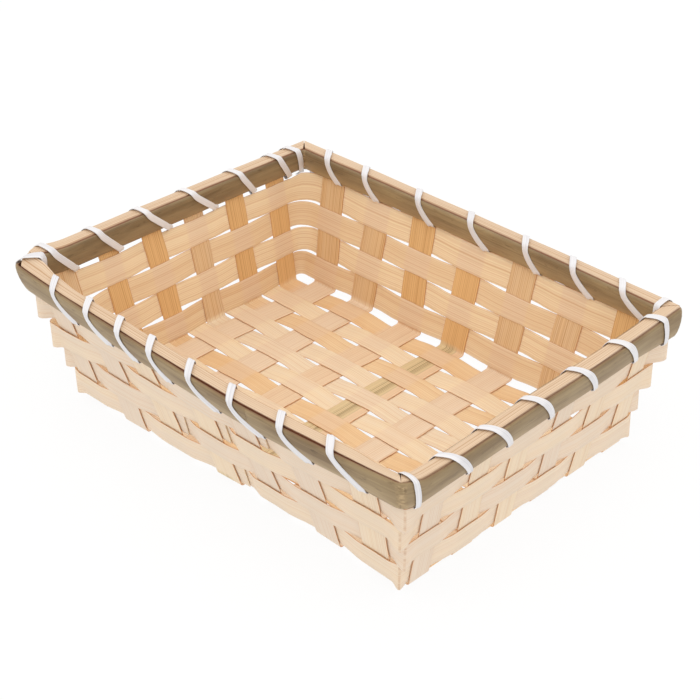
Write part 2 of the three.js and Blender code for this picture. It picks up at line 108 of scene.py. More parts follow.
# Floor and uprights
FLOOR_STEP = 0.8
FLOOR_LEVEL = 1.15
FOLD_RADIUS = 1.6
FOLD_STEPS = 7
FOLD_BLEND = 4.0
CROSS_COUNT = 7
CROSS_WIDTH = 19.0
CROSS_MARGIN = 15.7
LONG_COUNT = 6
ROW_COUNT = 11
ROW_MARGIN = 12.4
ROW_WIDTH = 15.0
SLAT_END_CLEARANCE = 0.6
SLAT_TUCK = 2.6
CROSSING_MARGIN = 0.6
CROSSING_BORDER = 1.0
UPRIGHT_OFFSET = 1.8
UPRIGHT_TOP = 81.4
SPLAY = by_wall(0.06, 0.07, 0.03, 0.06)
LEAN = by_wall(-9.5, 4.0, 0.0, 3.0)
JOG = {"front": (3.6, 0.7, -5.5, 1.5, -5.0, -2.0, 4.0), "back": (0.0, 0.0, 0.0, 0.0, 6.0, -2.0, 4.1)}
TOE = {"back": (0.0, 0.0, 0.0, 0.0, -3.0, 0.0, -5.0)}
TOE_EASE = 70.0

# Weavers, with four rows from the foot up
WALL_STEP = by_wall(1.0, 0.85, 0.6, 0.6)
WEAVER_COUNT = 4
WEAVER_FOOT = 3.2
WEAVER_TOP = 68.4
WEAVER_SLIT = 0.7
LAP_UPRIGHTS = (3, 2, 3, 4)
LAP_REACH = 16.5
CORNER_SPREAD = by_wall(
    (0.5, 1.8, 3.2, 4.5),
    (0.3, 0.5, 1.6, 4.4),
    (0.0, 0.0, 0.0, 0.0),
    (0.5, 1.5, 2.2, 4.5),
)
CORNER_RADII = by_wall(0.8, 2.5, 17.0, 2.5)
CORNER_LEAST = 5.0
CORNER_EASE = 1.5
CORNER_STEPS = 8
LEAST_RUN = 1.0

# The top row is taller at the back, and two rows hang lower at the left and at the left front corner. On the
# walls the stretches are measured in from the rim.
BACK_REACH = 2.6
BACK_REACH_X = (14.0, 34.0)
BACK_REACH_Y = (14.0, 8.0)
LEFT_FOOT_DROP = 1.2
LEFT_FOOT_X = (30.0, 22.0)
LEFT_FOOT_Y = (20.0, 32.0)
CORNER_DROP = (0.0, 0.0, 2.2, 0.0)
CORNER_DROP_X = (-95.0, -135.0)
CORNER_DROP_Y = (-55.0, -95.0)

# Rim bands, from the foot of their section to the top
GAP = 0.3
BAND_THICKNESS = 1.5
BAND_CROWN = 0.9
BAND_SHARES = np.array((0, 0.03, 0.12, 0.3, 0.5, 0.7, 0.88, 0.97, 1))
BAND_DEPTH = np.array((0.55, 0.9, 1, 1, 1, 1, 1, 0.9, 0.55))
OUTER_RADIUS = 4.5
OUTER_SEAT = 1.8
OUTER_FOOT = 69.5
OUTER_TOP = by_wall(86.4, 86.4, 85.2, 85.2)
OUTER_FACE = 17.5
OUTER_SCARF_AT = 15.0
INNER_RADIUS = 1.5
INNER_FOOT = 71.5
INNER_TOP = by_wall(84.2, 85.2, 86.5, 86.5)
INNER_FACE = 14.5
INNER_SCARF_AT = -15.0
SCARF_LENGTH = 30.0
SCARF_TIP = 0.06
SCARF_GROWTH = 0.88
RIM_CORNER_STEPS = 9

# Rim fillers, with the gaps beside them and the ends that meet at the left front corner
FILLER_WIDTH = 8.0
FILLER_TRIM = 0.1
FILLER_TOP = 87.1
FILLER_HEIGHT = 4.5
FILLER_PLACES = np.array((-1, -0.95, -0.5, 0, 0.5, 0.95, 1))
FILLER_CROWN = np.array((-0.3, -0.05, 0.1, 0.2, 0.1, -0.05, -0.3))
FILLER_RAGGED = 0.2
FILLER_WAVES = (70, 80)
FILLER_GAP = by_wall(0.15, 0.3, 0.0, 0.0)
FILLER_GAP_INNER = by_wall(0.5, 0.2, 0.45, 0.45)
FRONT_GAP = 0.85
FRONT_GAP_MIDDLE = 60.0
FRONT_GAP_REACH = 110.0
OVERHANG = 2.2
OVERHANG_X = (-100.0, -140.0)
LEFT_FILLER_SHORT = 1.6

# The rim is pushed out at its left front corner, and the outer band flares at the foot of two others
BULGE = 7.0
BULGE_WAY = (-1.0, -0.1)
BULGE_REACH = 34.0
FLARES = ((1, 1, 2.6, 0.5), (1, -1, 1.2, 1.0))
FLARE_REACH = 45.0
FLARE_FROM = (-2.0, 1.0)

# Lashing. Each turn on a wall, in the direction of travel, is the place where it comes over the edge of the
# face that shows and its run along that face. Its own run across the top, bend and tilt may follow.
LASH_WIDTH = 4.0
LASH_THICKNESS = 0.5
LASH_PLACES = np.array((-1, -0.8, 0, 0.8, 1))
LASH_DEPTH = np.array((0.4, 1, 1.15, 1, 0.4))
LASH_TUCK = 0.8
LASH_ARCH = 0.9
LASH_CURVE = by_wall(1.9, 0.8, 1.4, 1.1)
LASH_CURVE_HIDDEN = 2.5
LASH_DIP = {"left": 3.0}
LASH_ACROSS = by_wall(10.0, 6.5, 9.5, 3.0)
LASH_HIDDEN = by_wall(8.0, 2.0, 8.0, -6.5)
LASH_TURNS = {
    "front": (
        (-116.7, 14.0), (-84.9, 14.0), (-56.6, 9.0), (-29.4, 10.0),
        (2.4, 16.0), (34.2, 17.5), (70.4, 15.5), (104.8, 17.0, 11.0, 1.3),
    ),
    "right": (
        (-104.5, 5.3, -1.5, 1.0), (-74.3, 12.5), (-44.0, 12.5), (-11.0, 12.5),
        (25.5, 12.5), (61.4, 12.5), (94.6, 3.2),
    ),
    "back": (
        (-138.5, 1.0, -0.5), (-114.1, 20.1), (-77.4, 13.4), (-41.4, 9.1),
        (1.4, 11.9), (43.4, 9.7), (87.3, 8.5), (118.5, 7.4),
    ),
    "left": (
        (-97.5, 5.5), (-82.0, 12.0), (-50.0, 14.5), (-11.9, 21.6),
        (24.3, 20.7), (60.5, 18.4), (93.7, 17.7), (100.0, 0.5, 9.5, 1.1, -0.45),
    ),
}

# Stops of a turn: shares of the height of each band, and over the top the share of the way, share of the arch
# and facing. The first stop there depends on the face that shows.
LASH_INNER_SHARES = (0.0, 0.15, 0.35, 0.6, 0.85)
LASH_OUTER_SHARES = (0.85, 0.65, 0.45, 0.25, 0.1, 0.0)
LASH_EDGE_OUTSIDE = (0.16, 0.0, (-0.7, 0.7))
LASH_EDGE_INSIDE = (0.06, 0.2, (-0.8, 0.8))
LASH_TOP = ((0.28, 0.75, (-0.2, 1)), (0.5, 1.0, (0, 1)), (0.75, 0.7, (0.25, 1)))
LASH_EDGE_INSET = 0.2
LASH_EDGE_RISE = 0.1

# Round a corner the strip is hidden between the bands: steps from the nearest turn, offset, height and facing
LASH_ENTRY = ((-1.0, -0.9, 74.0, (1, 0)), (-0.5, -1.6, 70.6, (0.3, -1)))
LASH_EXIT = ((0.5, -0.9, 69.0, (-0.3, -1)), (1.0, -0.6, 73.0, (-1, 0)))
LASH_CORNER = (-0.5, 76.0, (0, 1))
LASH_CORNER_REACH = 5.0
LASH_CORNER_CLEAR = 1.0
LASH_SMOOTHING = 3

# Spacing of the rings along each kind of piece, the angle above which an edge stays sharp, and seeds
ROW_STATION = 2.2
CROSS_STATION = 2.5
WEAVER_STATION = 2.0
UPRIGHT_STATION = 3.0
RIM_STATION = 3.0
CHIP_SHARP = 40
BAND_SHARP = 50
FILLER_SHARP = 30
LASH_SHARP = 60
UV_UNIT = 100.0
ROW_SEED = 100
CROSS_SEED = 200
WEAVER_SEED = 300
FILLER_SEED = 400

# Colour of the chips: how warm the faces are, which on the inner faces is painted shade and warm bounce
# light, deepest on the stakes up the walls, the tone of each chip, and the cross stake with a grey stain
FLOOR_SHADE_WARMTH = 0.4
WALL_STAKE_SHADE_WARMTH = 0.9
WEAVER_SHADE_WARMTH = 0.54
OUTSIDE_SHADE_WARMTH = 0.08
STAINED_CROSS = 3
ROW_TONES = (0.72, -0.25, 0.6, -0.5, -0.6, -0.3, 0.75, -0.4, 0.65, 0.7, -0.7)
CROSS_TONES = (-0.25, -0.4, 0.6, 0.8, -0.5, -0.6, 0.5)
WEAVER_TONES = (0.1, -0.3, 0.2, -0.2)
TONE_SEED = 37.0
RIDGE_DRIFT = 9.0

# Colour of the rim: skin on a band's top edge, painted shade on the walls where a band is darker, and the
# filler's flanks painted brown, partly their own colour and partly painted shade
TOP_SKIN = 0.7
BAND_SHADE = {(1, "right"): 0.08, (-1, "left"): 0.22}
FLANK_SHADE_AND_BROWN = 1.0
FAR_FLANK_SHADE_AND_BROWN = 0.35

# Light
WORLD_LIGHT = 1.12
WORLD_TINT = (1.0, 0.99, 0.97, 1.0)
KEY_POWER = 3.5
KEY_SIZE = 1.2
KEY_TINT = (1.0, 0.98, 0.95)
KEY_PLACE = (0.15, -0.25, 1.5)
KEY_TARGET = (0, 0, 0.03)
FLOOR_REACH = 3.0
FLOOR_DROP = 0.0002
FLOOR_GREY = (0.93, 0.93, 0.93, 1.0)
FLOOR_SHADOW = 0.1
FLOOR_GLOW = 0.95

# Camera, from the photograph's perspective
CAMERA_AZIMUTH = 44.78
CAMERA_ELEVATION = 32.72
CAMERA_ROLL = -0.52
CAMERA_DISTANCE = 1072.58
CAMERA_SHIFT = (2.22, 7.52)
CAMERA_HEIGHT = 35.0
CAMERA_LENS = 95.62
CAMERA_CLIP = (0.01, 20.0)
SENSOR = 36.0

# Sizes that follow from those above
RIM_HALF = FILLER_WIDTH / 2 + GAP + BAND_THICKNESS
REACH_X = RIM_LENGTH / 2 - RIM_HALF
REACH_Y = RIM_WIDTH / 2 - RIM_HALF
WALL_RISE = RIM_HEIGHT - FLOOR_LEVEL
SLOPE_X = (REACH_X + UPRIGHT_OFFSET - FLOOR_LENGTH / 2) / WALL_RISE
SLOPE_Y = (REACH_Y + UPRIGHT_OFFSET - FLOOR_WIDTH / 2) / WALL_RISE
CROSS_PITCH = (FLOOR_LENGTH - 2 * CROSS_MARGIN) / (CROSS_COUNT - 1)
ROW_PITCH = (FLOOR_WIDTH - 2 * ROW_MARGIN) / (ROW_COUNT - 1)
WEAVER_PITCH = (WEAVER_TOP - WEAVER_FOOT + WEAVER_SLIT) / WEAVER_COUNT
WEAVER_WIDTH = WEAVER_PITCH - WEAVER_SLIT


def row_y(i):
    return ((ROW_COUNT - 1) / 2 - i) * ROW_PITCH


@dataclass(eq=False)
class Wall:
    """One side of the basket, with its direction of travel and its outward direction in plan."""

    name: str
    along: np.ndarray
    out: np.ndarray
    rim: float
    slope: float
    width: float
    feet: list

    def offset(self, z):
        """How far the uprights stand out from the rim's middle line at a height."""
        return UPRIGHT_OFFSET - self.slope * (RIM_HEIGHT - z)

    def plan(self, along, out):
        along = np.asarray(along, float)[..., None]
        out = np.asarray(out, float)[..., None]
        return along * self.along + out * self.out

    def upright(self, n, z):
        """Where an upright stands along the wall at a height."""
        foot = self.feet[n]
        rise = np.clip((z - FLOOR_LEVEL) / WALL_RISE, 0, None)
        jog = JOG[self.name][n] if self.name in JOG else 0.0
        return foot + self.toe(n) + (foot * SPLAY[self.name] + LEAN[self.name] + jog) * rise

    def toe(self, n):
        """How far the foot of an upright stands beside its place in the even spacing."""
        return TOE[self.name][n] if self.name in TOE else 0.0


CROSS_FEET = [(j - (CROSS_COUNT - 1) / 2) * CROSS_PITCH for j in range(CROSS_COUNT)]
LONG_FEET = [row_y(2 * n) for n in reversed(range(LONG_COUNT))]
X, Y = np.eye(2)
WALLS = [
    Wall("front", X, -Y, REACH_Y, SLOPE_Y, CROSS_WIDTH, CROSS_FEET),
    Wall("right", Y, X, REACH_X, SLOPE_X, ROW_WIDTH, LONG_FEET),
    Wall("back", -X, Y, REACH_Y, SLOPE_Y, CROSS_WIDTH, CROSS_FEET),
    Wall("left", -Y, -X, REACH_X, SLOPE_X, ROW_WIDTH, LONG_FEET),
]
FRONT, RIGHT, BACK, LEFT = WALLS


def beside(wall):
    """The walls before and after a wall, in the direction of travel."""
    k = WALLS.index(wall)
    return WALLS[k - 1], WALLS[(k + 1) % 4]


def smooth(t):
    t = np.clip(t, 0, 1)
    return t * t * (3 - 2 * t)


def fade(t, start, end):
    """Zero before start, one past end, and smooth between them. The end may be the lower number."""
    return smooth((t - start) / (end - start))


def bump(t, reach):
    """One at zero, easing to zero at the reach on both sides."""
    return smooth(1 - np.abs(t) / reach)


def out_and_back(values):
    """Values across one face of a strip, then the same in reverse for its other face."""
    return np.concatenate((values, values[..., ::-1]), axis=-1)


def bowed(points):
    """Points of the straight layout, moved with the bow, sag and warp of the walls."""
    x, y, z = points[:, 0], points[:, 1], points[:, 2]
    u = 2 * x / RIM_LENGTH
    v = 2 * y / RIM_WIDTH
    rise = np.clip(z - FLOOR_LEVEL, 0, None) / WALL_RISE
    on_long = (1 - u * u) * rise
    on_short = (1 - v * v) * rise
    drop = SAG_LONG * v * v * on_long + SAG_SHORT * u * u * on_short
    drop -= RAISE_FRONT * bump(x - RAISE_MIDDLE, RAISE_REACH) * smooth(-v) * rise
    dip = fade(x, *DIP_X) * fade(z, *DIP_Z) * fade(y, *DIP_START_Y) * (1 - fade(y, *DIP_END_Y))
    drop += DIP_RIGHT * dip
    lift = fade(x, *LIFT_X) * fade(y, *LIFT_Y) * fade(z, *LIFT_Z) * np.clip(0.5 - y / LIFT_SPAN, 0, 1)
    low = 1 - smooth(z / SPREAD_HEIGHT)
    forward = SPREAD_FRONT + SPREAD_ENDS * u * u
    forward += SPREAD_LEFT * fade(x, *SPREAD_LEFT_START) * fade(x, *SPREAD_LEFT_END)
    forward *= low * fade(y, *FRONT_PART)
    right = SPREAD_RIGHT * low * fade(x, *RIGHT_PART)
    right += TUCK_LEFT * low * fade(x, *LEFT_PART) * fade(y, *FRONT_PART)
    x = x + BOW_SHORT * u * on_short - LIFT_OUT * lift + right
    y = y + BOW_LONG * v * on_long - forward
    return np.column_stack((x, y, z - drop + LIFT * lift))


def bulged(points):
    """Points of the rim, pushed out round one corner and flared at the outer band's foot round two."""
    points = np.array(points, float)
    reach = np.array((REACH_X, REACH_Y))
    away = np.linalg.norm(points[..., :2] + reach + RIM_HALF, axis=-1)
    points[..., :2] += (BULGE * bump(away, BULGE_REACH))[..., None] * np.array(BULGE_WAY)
    beyond = np.max(np.abs(points[..., :2]) - reach, axis=-1)
    low = np.clip(1 - (points[..., 2] - OUTER_FOOT) / (RIM_HEIGHT - OUTER_FOOT), 0, 1)
    low = low * fade(beyond, *FLARE_FROM)
    for way_x, way_y, out, drop in FLARES:
        way = np.array((way_x, way_y))
        away = np.linalg.norm(points[..., :2] - way * (reach + RIM_HALF), axis=-1)
        share = low * bump(away, FLARE_REACH)
        points[..., :2] += (out * share)[..., None] * way
        points[..., 2] -= drop * share
    return points


def weave(t, centres, halves, values):
    """A run that is level at each crossing and eases from one to the next."""
    result = np.full(np.shape(t), values[0], float)
    for i in range(len(centres) - 1):
        start = centres[i] + halves[i]
        end = centres[i + 1] - halves[i + 1]
        result += (values[i + 1] - values[i]) * fade(t, start, end)
    return result


def wobble(run, rng, size, wave):
    """A slow drift along a strip, different for each strip."""
    first, second = rng.uniform(0, 2 * math.pi, 2)
    turns = 2 * math.pi * run / wave
    return size * (np.sin(turns + first) + OVERTONE * np.sin(OVERTONE_RATE * turns + second)) / (1 + OVERTONE)


def unit(vectors):
    return vectors / np.linalg.norm(vectors, axis=-1, keepdims=True)


def arc_length(points):
    steps = np.linalg.norm(np.diff(points, axis=0), axis=1)
    return np.concatenate(([0.0], np.cumsum(steps)))


def spaced(start, end, step):
    count = max(2, int(math.ceil(abs(end - start) / step)) + 1)
    return np.linspace(start, end, count)


def linked(name, data):
    obj = bpy.data.objects.new(name, data)
    bpy.context.scene.collection.objects.link(obj)
    return obj


def add_piece(name, mesh, material, node):
    obj = linked(name, mesh)
    mesh.materials.append(material)
    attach(obj, "root")
    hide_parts(node)


def sweep(name, rings, run, side, values, sharp):
    """A closed solid through rings of points. Each ring goes out along one face and back along the other."""
    count, sides = rings.shape[:2]
    verts = bowed(rings.reshape(-1, 3)) * MM
    grid = np.arange(count * sides).reshape(count, sides)
    turned = np.roll(grid, -1, axis=1)
    faces = np.stack((grid[:-1], turned[:-1], turned[1:], grid[1:]), axis=-1).reshape(-1, 4)
    low = np.arange(sides // 2 - 1)
    cap = np.stack((low, low + 1, sides - 2 - low, sides - 1 - low), axis=-1)
    faces = np.concatenate((faces, cap[:, ::-1], cap + (count - 1) * sides))
    p, q, r, s = (verts[faces[:, k]] for k in range(4))
    volume = np.einsum("ij,ij->", p, np.cross(q, r)) + np.einsum("ij,ij->", p, np.cross(r, s))
    if volume < 0:
        faces = faces[:, ::-1]
    mesh = bpy.data.meshes.new(name)
    mesh.from_pydata(verts.tolist(), [], faces.tolist())
    layer = mesh.uv_layers.new(name="Strip")
    index = np.zeros(len(mesh.loops), np.int32)
    mesh.loops.foreach_get("vertex_index", index)
    table = np.stack(np.broadcast_arrays(run[:, None], side), axis=-1).reshape(-1, 2)
    layer.data.foreach_set("uv", (table[index] / UV_UNIT).astype(np.float32).ravel())
    for key, value in values.items():
        attribute = mesh.attributes.new(key, "FLOAT", "POINT")
        full = np.broadcast_to(value, (count, sides))
        attribute.data.foreach_set("value", np.ascontiguousarray(full, np.float32).ravel())
    mesh.polygons.foreach_set("use_smooth", np.ones(len(mesh.polygons), bool))
    mesh.set_sharp_from_angle(angle=math.radians(sharp))
    mesh.update()
    return mesh


def chip_section(width, run, rng, ragged):
    """Sideways place and depth of the points of each ring of a chip, with slightly uneven edges."""
    left, right = (
        width / 2 + wobble(run, rng, ragged, slow) + wobble(run, rng, ragged * EDGE_FINE, fine)
        for slow, fine in EDGE_WAVES
    )
    side = np.where(CHIP_PLACES < 0, left[:, None], right[:, None]) * CHIP_PLACES
    depth = np.broadcast_to(CHIP_DEPTH * CHIP / 2, side.shape)
    return out_and_back(side), np.concatenate((-depth, depth[:, ::-1]), axis=1)


def chip_values(tone, warm, layer_shade, stain=np.zeros(1)):
    """Point values of a chip: its own tone, its warmth, which on the inner faces is painted shade and warm
    bounce light against the pale outer faces, painted shade where two layers lie on each other, edges painted
    as shade, and stain.
    """
    inner = np.repeat((0.0, 1.0), len(CHIP_PLACES))
    return {
        "tone": tone,
        "warm": inner * warm[:, None] + OUTSIDE_SHADE_WARMTH * (1 - inner),
        "layer_shade": layer_shade[:, None] * inner,
        "edge": np.abs(out_and_back(CHIP_PLACES)) == 1,
        "stain": stain[:, None],
    }


def near(t, centres, half):
    """One where a strip lies on a crossing, with short borders, and zero between crossings."""
    gap = np.min(np.abs(t[:, None] - np.array(centres)), axis=1)
    return fade(gap, half + CROSSING_BORDER / 2, half - CROSSING_BORDER / 2)


def upturn(wall, level):
    """Side profile of the fold from the floor into a wall and the run to the top of the upright."""
    turn = math.pi / 2 - math.atan(wall.slope)
    meet = wall.rim + wall.offset(level)
    start = meet - FOLD_RADIUS * math.tan(turn / 2)
    angle = np.linspace(0, turn, FOLD_STEPS)
    fold = np.column_stack((start + FOLD_RADIUS * np.sin(angle), level + FOLD_RADIUS * (1 - np.cos(angle))))
    z = spaced(fold[-1, 1], UPRIGHT_TOP, UPRIGHT_STATION)[1:]
    return np.concatenate((fold, np.column_stack((wall.rim + wall.offset(z), z))))


def stake_profile(wall, level, station, floor_level):
    """Side profile of a chip that crosses the floor and turns up a wall at both ends."""
    end = upturn(wall, level)
    t = spaced(-end[0, 0], end[0, 0], station)[1:-1]
    return np.concatenate((end[::-1] * (-1, 1), np.column_stack((t, floor_level(t))), end))


def thickened(profile, depth):
    """Distance and height of the points of each ring, set off from a side profile by their depth."""
    tangent = unit(np.gradient(profile, axis=0))
    return profile[:, :1] - tangent[:, 1:] * depth, profile[:, 1:] + tangent[:, :1] * depth


def wall_share(profile):
    """One where a stake stands on a wall and zero on the floor, with the warmth that follows, which is
    painted shade, deeper up the walls.
    """
    share = fade(profile[:, 1], FLOOR_LEVEL, FLOOR_LEVEL + FOLD_BLEND)
    return share, FLOOR_SHADE_WARMTH + (WALL_STAKE_SHADE_WARMTH - FLOOR_SHADE_WARMTH) * share


def row_level(x, row):
    """Height of a row along the floor as it goes over and under the cross stakes."""
    cross = np.arange(CROSS_COUNT)
    levels = FLOOR_LEVEL + np.where((cross + row) % 2 == 0, -FLOOR_STEP, FLOOR_STEP)
    return weave(x, CROSS_FEET, [CROSS_WIDTH / 2 + CROSSING_MARGIN] * CROSS_COUNT, levels)


def row_chip(name, row, rng, tone):
    """A chip that runs along the floor, and in every second row turns up both short walls."""
    if row % 2 == 0:
        low = FLOOR_LEVEL - FLOOR_STEP
        profile = stake_profile(RIGHT, low, ROW_STATION, lambda x: row_level(x, row))
    else:
        reach = FLOOR_LENGTH / 2 - SLAT_END_CLEARANCE
        x = spaced(-reach - SLAT_TUCK, reach, ROW_STATION)
        profile = np.column_stack((x, row_level(x, row)))
    run = arc_length(profile)
    side, depth = chip_section(ROW_WIDTH, run, rng, ROW_RAGGED)
    d, z = thickened(profile, depth)
    y = np.full(d.shape, row_y(row))
    if row % 2 == 0:
        n = row // 2
        on_right = RIGHT.upright(LONG_COUNT - 1 - n, z)
        on_left = -LEFT.upright(n, z)
        y = np.where(d < 0, on_left, on_right)
    drift = wobble(run, rng, DRIFT, ROW_DRIFT_WAVE)[:, None]
    rings = np.stack((d, y + side + drift, z), axis=-1)
    on_wall, warm = wall_share(profile)
    # Painted shade where the row lies on a cross stake and two layers let less light through
    layer_shade = near(profile[:, 0], CROSS_FEET, CROSS_WIDTH / 2) * (1 - on_wall)
    return sweep(name, rings, run, side[0], chip_values(tone, warm, layer_shade), CHIP_SHARP)


def cross_chip(name, j, rng, tone):
    """A chip that runs across the floor and turns up both long walls."""
    profile = stake_profile(FRONT, FLOOR_LEVEL, CROSS_STATION, lambda y: np.full(len(y), FLOOR_LEVEL))
    run = arc_length(profile)
    side, depth = chip_section(CROSS_WIDTH, run, rng, CROSS_RAGGED)
    d, z = thickened(profile, depth)
    n = CROSS_COUNT - 1 - j
    at_back = BACK.toe(n) * (1 - smooth(d / TOE_EASE)) - BACK.upright(n, z)
    x = np.where(d < 0, FRONT.upright(j, z), at_back)
    drift = wobble(run, rng, DRIFT, CROSS_DRIFT_WAVE)[:, None]
    rings = np.stack((x + side + drift, d, z), axis=-1)
    on_wall, warm = wall_share(profile)
    on_floor = 1 - on_wall
    # Painted shade of two layers along the whole stretch on the floor, where the rows lie on it
    values = chip_values(tone, warm, on_floor, on_floor * (j == STAINED_CROSS))
    return sweep(name, rings, run, side[0], values, CHIP_SHARP)


def runs_inside(row, upright):
    return (upright + WEAVER_COUNT - row) % 2 == 1


def weaver_chip(name, row, rng, tone):
    """A hoop of chip that goes in and out of the uprights, with its two ends lapped on the front wall."""
    middle = WEAVER_FOOT + WEAVER_WIDTH / 2 + row * WEAVER_PITCH
    spread = [CORNER_SPREAD[wall.name][row] for wall in WALLS]
    numbers = 0
    ways = []
    for wall in WALLS:
        at = [float(wall.upright(n, middle)) for n in range(len(wall.feet))]
        step = WALL_STEP[wall.name]
        sides = [-step if runs_inside(row, numbers + n) else step for n in range(len(at))]
        ways.append((wall, at, sides))
        numbers += len(at)
    plan, lean, layer_shade_parts, creased = [], [], [], []

    def reach(k, n):
        """How far out the weaver runs at one upright of a wall."""
        wall, _, sides = ways[k % 4]
        return wall.rim + wall.offset(middle) + sides[n]

    def corner_radius(k):
        here, there = ways[k], ways[(k + 1) % 4]
        room_out = reach(k + 1, 0) + spread[k] - here[1][-1] - here[0].width / 2
        room_in = reach(k, -1) + spread[k] + there[1][0] - there[0].width / 2
        widest = CORNER_RADII[here[0].name]
        free = min(room_out, room_in) - max(LEAST_RUN, CORNER_EASE * spread[k])
        return max(min(widest, CORNER_LEAST), min(widest, free))

    radii = [corner_radius(k) for k in range(4)]

    def on_wall(k, start, end, at, sides, halves):
        """The run along a wall. Where start or end is None it comes from or goes on round a corner."""
        wall, all_at, _ = ways[k]
        before, after = beside(wall)
        room_in = reach(k - 1, -1) + spread[k - 1]
        room_out = reach(k + 1, 0) + spread[k]
        first = -(room_in - radii[k - 1]) if start is None else start
        last = room_out - radii[k] if end is None else end
        t = spaced(first, last, WEAVER_STATION)
        out = wall.rim + wall.offset(middle) + weave(t, at, halves, sides)
        upright_share = np.ones(len(t))
        if start is None:
            share = smooth((t - first) / max(LEAST_RUN, all_at[0] - wall.width / 2 - first))
            out += spread[k - 1] * (1 - share)
            upright_share *= 1.0 if before is BACK else share
        if end is None:
            share = smooth((last - t) / max(LEAST_RUN, last - all_at[-1] - wall.width / 2))
            out += spread[k] * (1 - share)
            upright_share *= 1.0 if wall is BACK else share
        plan.append(wall.plan(t, out))
        # Painted shade where the weaver lies on an upright and two layers let less light through
        layer_shade_parts.append(near(t, all_at, wall.width / 2))
        creased.append(np.zeros(len(t)))
        lean.append(wall.slope * upright_share)
        if end is None:
            radius = radii[k]
            angle = np.linspace(0, math.pi / 2, CORNER_STEPS)[1:-1]
            top = reach(k, -1) + spread[k]
            along = room_out - radius + radius * np.sin(angle)
            plan.append(wall.plan(along, top - radius + radius * np.cos(angle)))
            turned = angle / (math.pi / 2)
            lean.append((wall.slope * (1 - turned) + after.slope * turned) * (wall is BACK))
            layer_shade_parts.append(np.zeros(len(angle)))
            creased.append(np.full(len(angle), 1.0 if wall is FRONT else 0.0))

    # The hoop starts under its own end at the lap, goes round all four walls and comes back over its start
    wall, at, sides = ways[0]
    half = wall.width / 2 + CROSSING_MARGIN
    lap = LAP_UPRIGHTS[row]
    halves = [LAP_REACH] + [half] * (len(at) - lap - 1)
    under = [sides[lap] - WALL_STEP["front"]] + sides[lap + 1:]
    on_wall(0, at[lap] - LAP_REACH, None, at[lap:], under, halves)
    for k in (1, 2, 3):
        wall, all_at, all_sides = ways[k]
        on_wall(k, None, None, all_at, all_sides, [wall.width / 2 + CROSSING_MARGIN] * len(all_at))
    on_wall(0, None, at[lap] + LAP_REACH - GAP, at[:lap + 1], sides[:lap + 1], [half] * (lap + 1))

    plan = np.concatenate(plan)
    x, y = plan[:, 0], plan[:, 1]
    tilt = np.arctan(np.concatenate(lean))[:, None]
    run = arc_length(plan)
    tangent = unit(np.gradient(plan, axis=0))
    normal = np.column_stack((tangent[:, 1], -tangent[:, 0]))
    side, depth = chip_section(WEAVER_WIDTH, run, rng, WEAVER_RAGGED)
    if row == WEAVER_COUNT - 1:
        at_back = fade(REACH_Y - y, *BACK_REACH_Y) * fade(REACH_X - x, *BACK_REACH_X)
        side = side + BACK_REACH * at_back[:, None] * (side > 0) * side / (WEAVER_WIDTH / 2)
    out = side * np.sin(tilt) - depth * np.cos(tilt)
    up = side * np.cos(tilt) + depth * np.sin(tilt)
    if row == 0:
        at_left = fade(REACH_X + x, *LEFT_FOOT_X) * fade(REACH_Y - np.abs(y), *LEFT_FOOT_Y)
        up = up - LEFT_FOOT_DROP * at_left[:, None]
    at_corner = fade(x, *CORNER_DROP_X) * fade(y, *CORNER_DROP_Y)
    up = up - CORNER_DROP[row] * at_corner[:, None]
    placed = plan[:, None] + normal[:, None] * out[..., None]
    rings = np.concatenate((placed, (middle + up)[..., None]), axis=-1)
    values = chip_values(tone, np.full(len(run), WEAVER_SHADE_WARMTH), np.concatenate(layer_shade_parts))
    values["crease"] = np.concatenate(creased)[:, None]
    return sweep(name, rings, run, side[0], values, CHIP_SHARP)


def band_face(wall, sign, share):
    """Offset and height up the exposed face of a rim band."""
    if sign > 0:
        foot = wall.offset(OUTER_FOOT) + CHIP / 2 + OUTER_SEAT + BAND_THICKNESS
        low, top, high = OUTER_FOOT, RIM_HALF, OUTER_TOP[wall.name]
    else:
        foot = wall.offset(INNER_FOOT) - CHIP / 2 - GAP - BAND_THICKNESS
        low, top, high = INNER_FOOT, -RIM_HALF, INNER_TOP[wall.name]
    offset = foot + (top - foot) * share + sign * BAND_CROWN * 4 * share * (1 - share)
    return offset, low + (high - low) * share


def rim_path(start_wall, start, radius):
    """Stations round the rim from a place on one wall: (wall, along, next wall, corner angle)."""
    stops = []
    k = WALLS.index(start_wall)
    for turn in range(5):
        wall = WALLS[(k + turn) % 4]
        before, beyond = beside(wall)
        first = start if turn == 0 else -(before.rim - radius - RIM_HALF)
        last = start if turn == 4 else beyond.rim - radius - RIM_HALF
        stops += [(wall, t, None, 0.0) for t in spaced(first, last, RIM_STATION)]
        if turn < 4:
            stops += [(wall, 0.0, beyond, angle) for angle in np.linspace(0, math.pi / 2, RIM_CORNER_STEPS)]
    return stops


